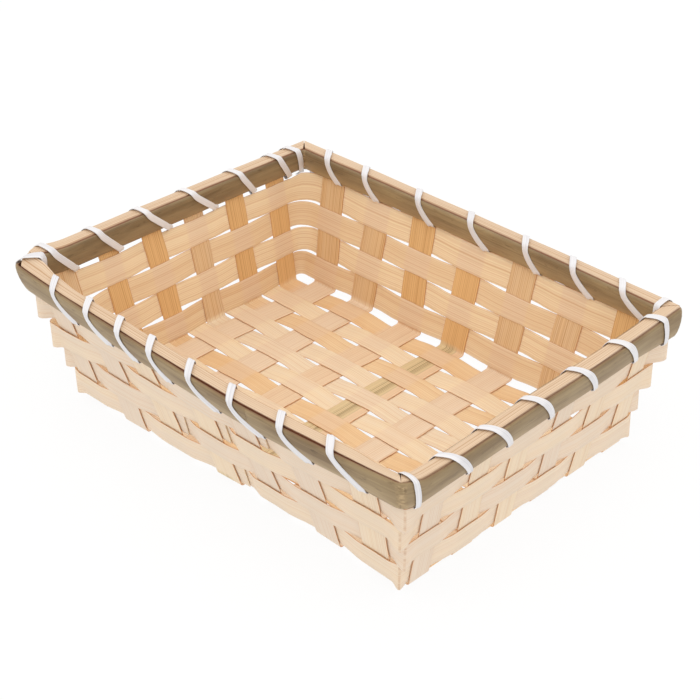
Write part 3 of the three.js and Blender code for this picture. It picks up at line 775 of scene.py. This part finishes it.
def rim_band(name, sign, start_wall, start, radius, face_height):
    """A hoop of split bamboo bent round the four corners and closed by a scarf lap."""
    rings, crease, brown = [], [], []
    stops = rim_path(start_wall, start, radius)
    stops += [(start_wall, t, None, 0.0) for t in spaced(start, start + SCARF_LENGTH, RIM_STATION)[1:]]
    places = len(BAND_SHARES)
    hollow = BAND_THICKNESS - BAND_THICKNESS * BAND_DEPTH

    def both_faces(face):
        return np.concatenate((face - sign * BAND_THICKNESS, (face - sign * hollow)[::-1]))

    for wall, along, beyond, angle in stops:
        face, height = band_face(wall, sign, BAND_SHARES)
        offset = both_faces(face)
        z = out_and_back(height)
        if beyond is None:
            xy = wall.plan(np.full(2 * places, along), wall.rim + offset)
        else:
            there, level = band_face(beyond, sign, BAND_SHARES)
            z = z + out_and_back(level - height) * angle / (math.pi / 2)
            xy = wall.plan(
                beyond.rim + both_faces(there) - radius + radius * math.sin(angle),
                wall.rim + offset - radius + radius * math.cos(angle),
            )
        rings.append(np.column_stack((xy, z)))
        crease.append(0.0 if beyond is None else math.sin(2 * angle))
        # Painted shade: the band is darker on the walls where it lies more in shade
        brown.append(BAND_SHADE.get((sign, wall.name), 0.0))
    rings = bulged(rings)
    run = arc_length(rings[:, places + places // 2])
    # The first stretch is thinned from its face and the last one from its back, so that they lap
    from_end = run[-1] - run
    back, front = rings[:, :places], rings[:, places:][:, ::-1]
    thin = (SCARF_TIP + SCARF_GROWTH * np.clip(run / SCARF_LENGTH, 0, 1))[:, None, None]
    thick = (SCARF_TIP + SCARF_GROWTH * np.clip(from_end / SCARF_LENGTH, 0, 1))[:, None, None]
    new_front = np.where((run < SCARF_LENGTH)[:, None, None], back + (front - back) * thin, front)
    new_back = np.where((from_end < SCARF_LENGTH)[:, None, None], front + (back - front) * thick, back)
    rings = np.concatenate((new_back, new_front[:, ::-1]), axis=1)
    skin = np.concatenate((np.zeros(places), [TOP_SKIN], np.ones(places - 2), [0]))
    values = {"skin": skin, "crease": np.array(crease)[:, None], "brown": np.array(brown)[:, None]}
    return sweep(name, rings, run, out_and_back(BAND_SHARES) * face_height, values, BAND_SHARP)


def rim_filler(name, wall, rng):
    """A pale strip between the two bands along one side, mitred at its ends, but butted at the left front."""
    before, beyond = beside(wall)
    half = FILLER_WIDTH / 2 - FILLER_TRIM
    first = -(before.rim - half)
    t = spaced(first, beyond.rim - half, RIM_STATION)
    run = t - first
    left, right = (wobble(run, rng, FILLER_RAGGED, wave) for wave in FILLER_WAVES)
    side = out_and_back(FILLER_PLACES) * half
    under = np.arange(len(side)) < len(FILLER_PLACES)
    z = np.where(under, FILLER_TOP - FILLER_HEIGHT, FILLER_TOP + out_and_back(FILLER_CROWN))
    seated = under & ((side < 0) | (wall is not FRONT))
    seat = np.sign(side) * (half + GAP) * np.abs(side) / half
    rings = []
    for n, along in enumerate(t):
        gap = FILLER_GAP[wall.name]
        gap_inner = FILLER_GAP_INNER[wall.name]
        if wall is FRONT:
            gap += FRONT_GAP * bump(along - FRONT_GAP_MIDDLE, FRONT_GAP_REACH)
            gap_inner -= OVERHANG * fade(along, *OVERHANG_X)
        trim = np.where(side > 0, right[n] - gap, left[n] + gap_inner)
        offset = np.where(seated, seat, side + trim * np.abs(side) / half)
        reach = np.full(len(side), along)
        if n == 0 and wall is FRONT:
            reach = np.clip(side, 0, None) - (before.rim + half - GAP)
        elif n == 0:
            reach = reach - (side + half) + GAP
        elif n == len(t) - 1 and wall is LEFT:
            reach = reach - GAP - LEFT_FILLER_SHORT
        elif n == len(t) - 1:
            reach = reach + (side + half) - GAP
        rings.append(np.column_stack((wall.plan(reach, wall.rim + offset), z)))
    # Flanks painted brown: the outer one on the front and the inner ones elsewhere fully, the others in part;
    # partly the flank's own colour and partly painted shade in the slit beside the band
    values = {
        "flank": under,
        "brown": np.where((side > 0) == (wall is FRONT), FLANK_SHADE_AND_BROWN, FAR_FLANK_SHADE_AND_BROWN),
    }
    return sweep(name, bulged(rings), run, side, values, FILLER_SHARP)


def lash_plan(wall):
    """Each turn: where it reaches the top from inside, its runs inside, across and outside, bend and tilt."""
    seen_outside = wall in (FRONT, RIGHT)
    hidden = LASH_HIDDEN[wall.name]
    plan = []
    for place, run, *own in LASH_TURNS[wall.name]:
        across = own[0] if own else LASH_ACROSS[wall.name]
        curve = own[1] if len(own) > 1 else LASH_CURVE[wall.name]
        tilt = own[2] if len(own) > 2 else 0.0
        if seen_outside:
            plan.append([place - across, hidden, across, run, curve, tilt])
        else:
            plan.append([place, run, across, hidden, curve, tilt])
    # Under the rim the strip goes straight on to the next turn, and the hidden face takes up the rest
    for turn, following in zip(plan[:-1], plan[1:]):
        if seen_outside:
            following[1] = following[0] - (turn[0] + turn[2] + turn[3])
        else:
            turn[3] = following[0] - following[1] - (turn[0] + turn[2])
    return plan


def lash_turn(wall, top_in, inner_run, top_run, outer_run, curve, tilt):
    """Stops of one turn, as (along, offset, height, facing): up the inner face, over, down the outer face."""
    seen_outside = wall in (FRONT, RIGHT)
    top_out = top_in + top_run
    dip = LASH_DIP.get(wall.name, 0.0)
    inner_curve = LASH_CURVE_HIDDEN if seen_outside else curve
    foot, low = band_face(wall, -1, 0.0)
    stops = [(top_in - inner_run, foot + dip + LASH_TUCK, low - dip - LASH_TUCK / 2, (-0.2, -1))]
    if dip:
        stops.append((top_in - inner_run * 0.97, foot + dip * 0.9, low - dip, (-1, -0.4)))
        stops.append((top_in - inner_run * 0.9, foot + 0.5, low - dip * 0.4, (-1, -0.3)))
    for share in LASH_INNER_SHARES:
        offset, z = band_face(wall, -1, share)
        climb = (z - low + dip) / (INNER_TOP[wall.name] - low + dip)
        stops.append((top_in - inner_run * (1 - climb) ** inner_curve, offset, z, (-1, 0.1)))
    edge = LASH_EDGE_OUTSIDE if seen_outside else LASH_EDGE_INSIDE
    for share, lift, facing in (edge, *LASH_TOP):
        z = FILLER_TOP + LASH_ARCH * lift
        stops.append((top_in + top_run * share, RIM_HALF * (2 * share - 1), z, (*facing, tilt)))
    stops.append((top_out, RIM_HALF - LASH_EDGE_INSET, OUTER_TOP[wall.name] + LASH_EDGE_RISE, (0.8, 0.7)))
    for share in LASH_OUTER_SHARES:
        offset, z = band_face(wall, 1, share)
        stops.append((top_out + outer_run * (1 - share) ** curve, offset, z, (1, 0)))
    foot, low = band_face(wall, 1, 0.0)
    stops.append((top_out + outer_run, foot - LASH_TUCK, low - LASH_TUCK, (0.2, -1)))
    return stops


def lash_stops(wall):
    """All stops on one wall. At both ends the strip goes round the corner hidden between the two bands."""
    before, beyond = beside(wall)
    plan = lash_plan(wall)
    start = plan[0][0] - plan[0][1]
    end = plan[-1][0] + plan[-1][2] + plan[-1][3]
    stops = [(max(start - LASH_CORNER_REACH, LASH_CORNER_CLEAR - before.rim), *LASH_CORNER)]
    stops += [(start + step, *rest) for step, *rest in LASH_ENTRY]
    for turn in plan:
        stops += lash_turn(wall, *turn)
    stops += [(end + step, *rest) for step, *rest in LASH_EXIT]
    return stops + [(min(end + LASH_CORNER_REACH, beyond.rim - LASH_CORNER_CLEAR), *LASH_CORNER)]


def catmull(points, steps):
    """A smooth curve through points."""
    padded = np.concatenate((points[:1], points, points[-1:]))
    p0, p1, p2, p3 = padded[:-3], padded[1:-2], padded[2:-1], padded[3:]
    curve = []
    for t in np.arange(steps) / steps:
        square = (2 * p0 - 5 * p1 + 4 * p2 - p3) * t**2
        cube = (3 * p1 - p0 - 3 * p2 + p3) * t**3
        curve.append(0.5 * (2 * p1 + (p2 - p0) * t + square + cube))
    curve = np.stack(curve, axis=1).reshape(-1, points.shape[1])
    return np.concatenate((curve, points[-1:]))


def lashing(name):
    """One flat strip wound round the whole rim."""
    points, outward = [], []
    clear = GAP + LASH_THICKNESS / 2
    for wall in WALLS:
        for along, offset, z, facing in lash_stops(wall):
            away = unit(np.array((*facing, 0.0)[:3]))
            xy = wall.plan(along, wall.rim + offset + away[0] * clear)
            points.append((*xy, z + away[1] * clear))
            outward.append((*(wall.out * away[0] + wall.along * away[2]), away[1]))
    path = catmull(bulged(points), LASH_SMOOTHING)
    normal = catmull(np.array(outward), LASH_SMOOTHING)
    tangent = unit(np.gradient(path, axis=0))
    normal = unit(normal - tangent * np.einsum("ij,ij->i", normal, tangent)[:, None])
    across = np.cross(tangent, normal)
    depth = LASH_DEPTH * LASH_THICKNESS / 2
    side = out_and_back(LASH_PLACES) * LASH_WIDTH / 2
    thick = np.concatenate((-depth, depth[::-1]))
    rings = path[:, None] + across[:, None] * side[:, None] + normal[:, None] * thick[:, None]
    return sweep(name, rings, arc_length(path), side, {}, LASH_SHARP)


# Materials


def srgb(red, green, blue):
    """A colour given by its 8-bit display values."""
    def linear(c):
        c /= 255
        return c / 12.92 if c <= 0.04045 else ((c + 0.055) / 1.055) ** 2.4
    return (linear(red), linear(green), linear(blue), 1.0)


def fill(tree, node, *values, **named):
    """Set or link the inputs of a node, the first ones in order and others by name."""
    for key, value in (*enumerate(values), *named.items()):
        socket = node.inputs[key if isinstance(key, int) else key.replace("_", " ")]
        if isinstance(value, bpy.types.NodeSocket):
            tree.links.new(value, socket)
        else:
            socket.default_value = value
    return node


def new_node(tree, kind, *values, **named):
    return fill(tree, tree.nodes.new("ShaderNode" + kind), *values, **named)


def emptied(owner):
    """The node tree of a material or a world, with nothing in it."""
    owner.use_nodes = True
    owner.node_tree.nodes.clear()
    return owner.node_tree


class Shader:
    """A material's node tree with short ways to add and join nodes."""

    def __init__(self, name):
        self.material = bpy.data.materials.new(name)
        self.tree = emptied(self.material)
        strip = self.node("UVMap")
        strip.uv_map = "Strip"
        split = self.node("SeparateXYZ", strip.outputs[0])
        self.run, self.side = split.outputs[0], split.outputs[1]

    def node(self, kind, *values, **named):
        return new_node(self.tree, kind, *values, **named)

    def math(self, operation, a, b=0.0, clamp=False):
        made = self.node("Math", a, b)
        made.operation = operation
        made.use_clamp = clamp
        return made.outputs[0]

    def times(self, a, b):
        return self.math("MULTIPLY", a, b)

    def plus(self, a, b, clamp=False):
        return self.math("ADD", a, b, clamp)

    def mix(self, share, a, b):
        made = self.node("Mix")
        made.data_type = "RGBA"
        return fill(self.tree, made, Factor=share, A=a, B=b).outputs["Result"]

    def attribute(self, name):
        made = self.node("Attribute")
        made.attribute_name = name
        return made.outputs["Fac"]

    def grain(self, along, across, detail=3.0, shift=0.0):
        """Noise drawn out along the strip: features per millimetre along and across it."""
        x = self.times(self.run, along * UV_UNIT)
        y = self.times(self.side, across * UV_UNIT)
        seed = self.plus(self.times(self.attribute("tone"), TONE_SEED), shift)
        place = self.node("CombineXYZ", x, y, seed).outputs[0]
        return self.node("TexNoise", Vector=place, Scale=1.0, Detail=detail, Roughness=0.55).outputs["Fac"]

    def ridges(self, spacing, drift):
        """Fine parallel lines along the strip, a given distance apart, moved a little by a slow drift."""
        across = self.times(self.side, UV_UNIT * 2 * math.pi / spacing)
        wave = self.math("SINE", self.plus(across, self.times(drift, RIDGE_DRIFT)))
        return self.plus(self.times(wave, 0.5), 0.5)

    def ramp(self, value, low, high):
        made = self.node("MapRange", Value=value, From_Min=low, From_Max=high)
        return made.outputs["Result"]

    def share(self, value, low, high, most):
        """A ramp that ends at a share below one."""
        return self.times(self.ramp(value, low, high), most)

    def sway(self, value, size):
        """A noise value about its middle, at a given size."""
        return self.times(self.math("SUBTRACT", value, 0.5), size)

    def surface(self, colour, relief, strength, rough, distance=0.0004, specular=0.25):
        """A surface with fine relief along its lines."""
        raised = self.node("Bump", Height=relief, Strength=strength, Distance=distance).outputs[0]
        inputs = dict(Base_Color=colour, Normal=raised, Roughness=rough, Specular_IOR_Level=specular)
        return self.node("BsdfPrincipled", **inputs).outputs[0]

    def finish(self, shader):
        self.node("OutputMaterial", shader)
        return self.material


def bamboo_chip(name, translucency, ground, amber, layer_shade, lines, stains, crease_tint, edge_tint, through_tint):
    """Split bamboo: straight fibres, a tone of its own for each strip, and some light let through."""
    s = Shader(name)
    fibre = s.grain(0.0015, 0.8, 3.0)
    hair = s.ridges(1.25, s.grain(0.002, 0.25, 2.0, 23.0))
    fine = s.grain(0.0012, 1.5, 2.0, 17.0)
    streak = s.grain(0.001, 0.25, 2.0, 11.0)
    cloud = s.grain(0.004, 0.1, 1.0, 5.0)
    # The ground goes from pale on the outside, through cream and tan, to deep on the warmest inner faces. The
    # warmth of the inner faces is painted shade and warm bounce light, with each strip's own tone and streaks
    # added to it
    face = s.attribute("warm")
    warm = s.plus(face, s.times(s.attribute("tone"), 0.24))
    warm = s.plus(warm, s.sway(streak, 0.3))
    warm = s.plus(warm, s.sway(cloud, 0.2), clamp=True)
    pale, cream, tan, deep = ground
    colour = s.mix(s.ramp(warm, 0.0, 0.45), pale, cream)
    colour = s.mix(s.ramp(warm, 0.45, 0.65), colour, tan)
    colour = s.mix(s.ramp(warm, 0.65, 1.0), colour, deep)
    orange = s.times(s.ramp(s.attribute("tone"), 0.4, 1.0), s.ramp(face, 0.1, 0.3))
    colour = s.mix(s.times(orange, 0.8), colour, amber)
    # Painted shade, greyer, where two layers lie on each other and let less light through
    colour = s.mix(s.times(s.attribute("layer_shade"), 0.5), colour, layer_shade)
    # Fibre lines, deeper and darker on the warm faces, which carry the painted shade
    thick = s.share(fibre, 0.5, 0.66, 0.42)
    thin = s.times(s.times(s.ramp(hair, 0.3, 1.0), s.ramp(fine, 0.3, 0.65)), 0.75)
    depth = s.plus(s.times(face, 0.46), 0.34)
    line = s.times(s.plus(thick, thin), depth)
    colour = s.mix(line, colour, s.mix(s.ramp(face, 0.6, 0.85), *lines))
    # Stain along one side of a chip, creased corners, and edges painted orange-brown, which is mostly painted
    # shade and warm bounce light from the slits beside them over the edges' own colour
    stained = s.times(s.attribute("stain"), s.ramp(s.side, 0.042, 0.034))
    colour = s.mix(stained, colour, s.mix(s.ramp(s.plus(fine, fibre), 0.97, 1.18), *stains))
    crease = s.times(s.attribute("crease"), s.ramp(s.grain(0.1, 0.5, 3.0, 3.0), 0.35, 0.6))
    colour = s.mix(s.times(crease, 0.35), colour, crease_tint)
    colour = s.mix(s.times(s.attribute("edge"), 0.75), colour, edge_tint)
    height = s.plus(s.times(fibre, 0.6), s.times(hair, 0.4))
    rough = s.plus(s.times(fibre, 0.2), 0.42)
    body = s.surface(colour, height, 0.25, rough)
    through = s.node("BsdfTranslucent", Color=s.mix(0.5, colour, through_tint))
    return s.finish(s.node("MixShader", translucency, body, through.outputs[0]).outputs[0])


def bamboo_strip(name, pale, warm, dark, flank):
    """The pale strip in the rim, with lines along its length and brown flanks, partly their own colour and
    partly painted shade in the slits beside the bands.
    """
    s = Shader(name)
    line = s.grain(0.002, 1.1, 2.0)
    hair = s.ridges(0.9, s.grain(0.002, 0.3, 2.0, 23.0))
    colour = s.mix(s.ramp(hair, 0.2, 0.9), pale, warm)
    colour = s.mix(s.share(line, 0.5, 0.62, 0.7), colour, dark)
    # Flanks painted brown: partly their own colour and partly painted shade in the slit beside the band
    side = s.times(s.ramp(s.attribute("flank"), 0.02, 0.14), s.attribute("brown"))
    colour = s.mix(side, colour, flank)
    return s.finish(s.surface(colour, line, 0.3, 0.5))


def bamboo_skin(name, skin, shade, pale, dark, edge_tint):
    """The bamboo's own skin on the face of a rim band, cracked at the corners, with brown cut edges."""
    s = Shader(name)
    line = s.grain(0.003, 0.7, 3.0)
    patch = s.grain(0.02, 0.12, 4.0, 7.0)
    hair = s.grain(0.006, 2.2, 2.0, 19.0)
    spot = s.grain(0.12, 0.35, 3.0, 31.0)
    colour = s.mix(s.ramp(patch, 0.38, 0.64), skin, shade)
    colour = s.mix(s.share(line, 0.48, 0.68, 0.55), colour, shade)
    colour = s.mix(s.share(hair, 0.56, 0.7, 0.3), colour, pale)
    colour = s.mix(s.share(spot, 0.6, 0.75, 0.55), colour, dark)
    # Paler towards the lower edge: painted light from the floor below
    colour = s.mix(s.share(s.side, 0.09, 0.0, 0.4), colour, pale)
    # Painted shade, darker on the walls where a band lies more in shade
    colour = s.mix(s.attribute("brown"), colour, dark)
    crease = s.times(s.attribute("crease"), s.ramp(s.grain(0.25, 0.5, 4.0, 43.0), 0.45, 0.62))
    colour = s.mix(s.times(crease, 0.7), colour, pale)
    crack = s.times(s.attribute("crease"), s.ramp(s.grain(0.4, 0.25, 4.0, 53.0), 0.55, 0.66))
    colour = s.mix(s.times(crack, 0.6), colour, dark)
    colour = s.mix(s.attribute("skin"), edge_tint, colour)
    rough = s.plus(s.times(patch, 0.25), 0.32)
    return s.finish(s.surface(colour, line, 0.25, rough))


def plastic_strip(name, colour, shade):
    """Flat plastic strip, drawn with faint lines along it."""
    s = Shader(name)
    line = s.grain(0.004, 1.4, 2.0)
    tint = s.mix(s.ramp(line, 0.45, 0.7), colour, shade)
    return s.finish(s.surface(tint, line, 0.2, 0.32, distance=0.0003, specular=0.5))


chip_material = bamboo_chip(
    "bamboo_chip",
    translucency=0.12,
    ground=(srgb(241, 223, 202), srgb(254, 232, 196), srgb(241, 211, 172), srgb(238, 196, 138)),
    amber=srgb(245, 198, 138),
    # Painted shade of two layers lying on each other
    layer_shade=srgb(245, 217, 191),
    lines=(srgb(213, 158, 100), srgb(196, 136, 76)),
    stains=(srgb(232, 206, 160), srgb(146, 116, 76)),
    crease_tint=srgb(190, 140, 96),
    # Edges painted orange-brown: mostly painted shade and warm bounce light from the slits beside them
    edge_tint=srgb(208, 134, 68),
    through_tint=(1.0, 0.88, 0.68, 1.0),
)
filler_material = bamboo_strip(
    "bamboo_filler",
    pale=srgb(219, 194, 167),
    warm=srgb(210, 181, 149),
    dark=srgb(180, 136, 95),
    # Flank colour: partly its own brown and partly painted shade in the slit beside the band
    flank=srgb(160, 102, 74),
)
skin_material = bamboo_skin(
    "bamboo_skin",
    skin=srgb(160, 138, 102),
    shade=srgb(126, 104, 75),
    pale=srgb(200, 172, 132),
    dark=srgb(80, 60, 42),
    edge_tint=srgb(118, 80, 54),
)
lash_material = plastic_strip("white_strip", srgb(228, 226, 228), srgb(208, 206, 210))

# The pieces


def add_chip(node, make, n, seed, tones):
    """One chip of the weave, made with its own seed and tone."""
    name = node + "_chip"
    add_piece(name, make(name, n, np.random.RandomState(seed + n), tones[n]), chip_material, node)


for row in range(ROW_COUNT):
    row_node = f"long_stake_{row // 2 + 1}" if row % 2 == 0 else f"floor_slat_{(row + 1) // 2}"
    add_chip(row_node, row_chip, row, ROW_SEED, ROW_TONES)
for j in range(CROSS_COUNT):
    add_chip(f"cross_stake_{j + 1}", cross_chip, j, CROSS_SEED, CROSS_TONES)
for row in range(WEAVER_COUNT):
    add_chip(f"weaver_{row + 1}", weaver_chip, row, WEAVER_SEED, WEAVER_TONES)
outer = rim_band("outer_band", 1, FRONT, OUTER_SCARF_AT, OUTER_RADIUS, OUTER_FACE)
add_piece("outer_band", outer, skin_material, "rim_outer_band")
inner = rim_band("inner_band", -1, RIGHT, INNER_SCARF_AT, INNER_RADIUS, INNER_FACE)
add_piece("inner_band", inner, skin_material, "rim_inner_band")
for n, wall in enumerate(WALLS):
    name = f"filler_{wall.name}"
    mesh = rim_filler(name, wall, np.random.RandomState(FILLER_SEED + n))
    add_piece(name, mesh, filler_material, f"rim_filler_{wall.name}")
add_piece("lashing", lashing("lashing"), lash_material, "rim_lashing")

# Stage: a white floor, soft light from all round and a large lamp above


def white_to_camera(tree, lit, white):
    """A shader that is plain white where the camera or a reflection sees it, and lit otherwise."""
    path = new_node(tree, "LightPath")
    seen = path.outputs["Is Camera Ray"]
    for kind in ("Is Glossy Ray", "Is Transmission Ray"):
        either = new_node(tree, "Math", seen, path.outputs[kind])
        either.operation = "MAXIMUM"
        seen = either.outputs[0]
    return new_node(tree, "MixShader", seen, lit, white).outputs[0]


world = bpy.data.worlds.new("studio")
bpy.context.scene.world = world
tree = emptied(world)
soft = new_node(tree, "Background", Color=WORLD_TINT, Strength=WORLD_LIGHT)
plain = new_node(tree, "Background", Color=(1.0, 1.0, 1.0, 1.0))
new_node(tree, "OutputWorld", Surface=white_to_camera(tree, soft.outputs[0], plain.outputs[0]))

floor_mesh = bpy.data.meshes.new("floor")
corners = [(x * FLOOR_REACH, y * FLOOR_REACH, -FLOOR_DROP) for x, y in ((-1, -1), (1, -1), (1, 1), (-1, 1))]
floor_mesh.from_pydata(corners, [], [(0, 1, 2, 3)])
floor = linked("floor", floor_mesh)
floor_material = bpy.data.materials.new("floor")
tree = emptied(floor_material)
matte = new_node(tree, "BsdfDiffuse", Color=FLOOR_GREY)
glow = new_node(tree, "Emission")
shaded = new_node(tree, "MixShader", FLOOR_SHADOW, glow.outputs[0], matte.outputs[0]).outputs[0]
lit = new_node(tree, "Emission", Strength=FLOOR_GLOW)
new_node(tree, "OutputMaterial", Surface=white_to_camera(tree, lit.outputs[0], shaded))
floor_mesh.materials.append(floor_material)

key_data = bpy.data.lights.new("key", "AREA")
key_data.shape = "DISK"
key_data.size = KEY_SIZE
key_data.energy = KEY_POWER
key_data.color = KEY_TINT
key = linked("key", key_data)
key.location = KEY_PLACE
key.rotation_euler = (Vector(KEY_TARGET) - key.location).to_track_quat("-Z", "Y").to_euler()

# The camera
azimuth, elevation, roll = (math.radians(a) for a in (CAMERA_AZIMUTH, CAMERA_ELEVATION, CAMERA_ROLL))
level = math.cos(elevation)
back = Vector((math.sin(azimuth) * level, -math.cos(azimuth) * level, math.sin(elevation)))
right = Vector((math.cos(azimuth), math.sin(azimuth), 0))
up = back.cross(right)
target = Vector((0, 0, CAMERA_HEIGHT)) + CAMERA_SHIFT[0] * right + CAMERA_SHIFT[1] * up
place = (target + back * CAMERA_DISTANCE) * MM
turned_right = math.cos(roll) * right + math.sin(roll) * up
turned = Matrix((turned_right, back.cross(turned_right), back)).transposed()
camera_data = bpy.data.cameras.new("camera")
camera_data.sensor_width = SENSOR
camera_data.lens = CAMERA_LENS
camera_data.clip_start, camera_data.clip_end = CAMERA_CLIP
camera = linked("camera", camera_data)
camera.matrix_world = Matrix.Translation(place) @ turned.to_4x4()
bpy.context.scene.camera = camera
bpy.context.scene.view_settings.view_transform = "Standard"
